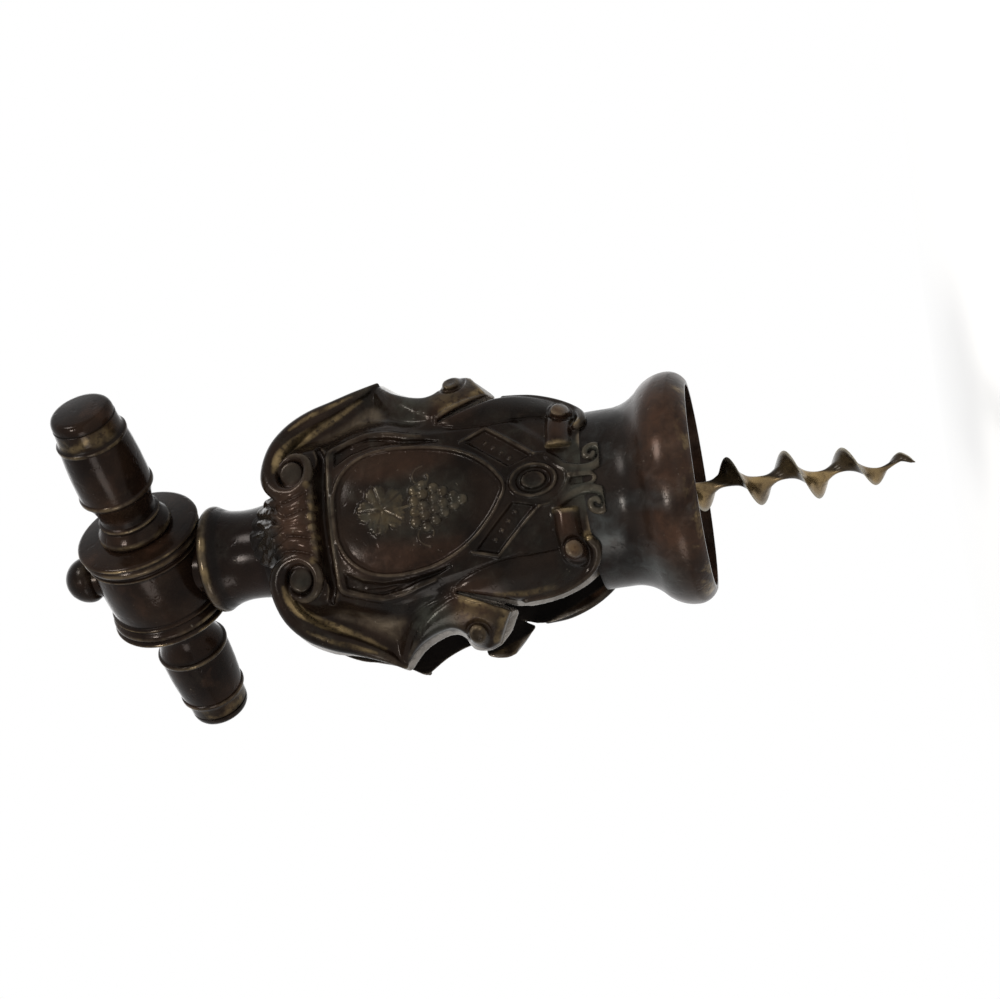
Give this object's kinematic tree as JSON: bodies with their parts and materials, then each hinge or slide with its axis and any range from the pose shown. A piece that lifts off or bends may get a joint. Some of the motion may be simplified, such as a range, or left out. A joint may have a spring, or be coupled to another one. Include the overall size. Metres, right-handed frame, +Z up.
{
  "type": "corkscrew",
  "caption": "Open-frame corkscrew: a bell with scrolled cartouche plates carries a keg T-handle that turns a bladed worm.",
  "frame": {"origin": "centre of the bell's mouth, on the flat rim that meets the bottle", "axes": "+Z up the worm's axis from the mouth to the handle; the front cartouche faces -Y; +X is to the right seen from the front"},
  "size_m": [0.0558, 0.062, 0.1562],
  "materials": {
    "dark_bronze": "dark brown patina, satin, worn bright on the high edges",
    "handle_bronze": "dark brown patina, polished by handling",
    "bush_brass": "plain turned brass, dull",
    "spindle_steel": "turned steel, dull grey",
    "worm_steel": "steel with a pale straw tarnish"
  },
  "bodies": {
    "frame": {"bell": "dark_bronze", "front_cartouche": "dark_bronze", "back_cartouche": "dark_bronze", "neck_collar": "dark_bronze", "neck_bush": "bush_brass", "upper_washer": "bush_brass", "lower_washer": "bush_brass"},
    "handle": {"spindle": "spindle_steel", "stop_collar": "spindle_steel", "collar_pin": "spindle_steel", "worm": "worm_steel", "worm_pin": "spindle_steel", "keg_hub": "handle_bronze", "front_grip": "handle_bronze", "rear_grip": "handle_bronze", "handle_rod": "spindle_steel", "dome_nut": "handle_bronze"}
  },
  "joints": [
    {"name": "handle_turn", "type": "hinge", "parent": "frame", "child": "handle", "pos_m": [0, 0, 0.08], "axis": [0, 0, 1], "continuous": true}
  ]
}
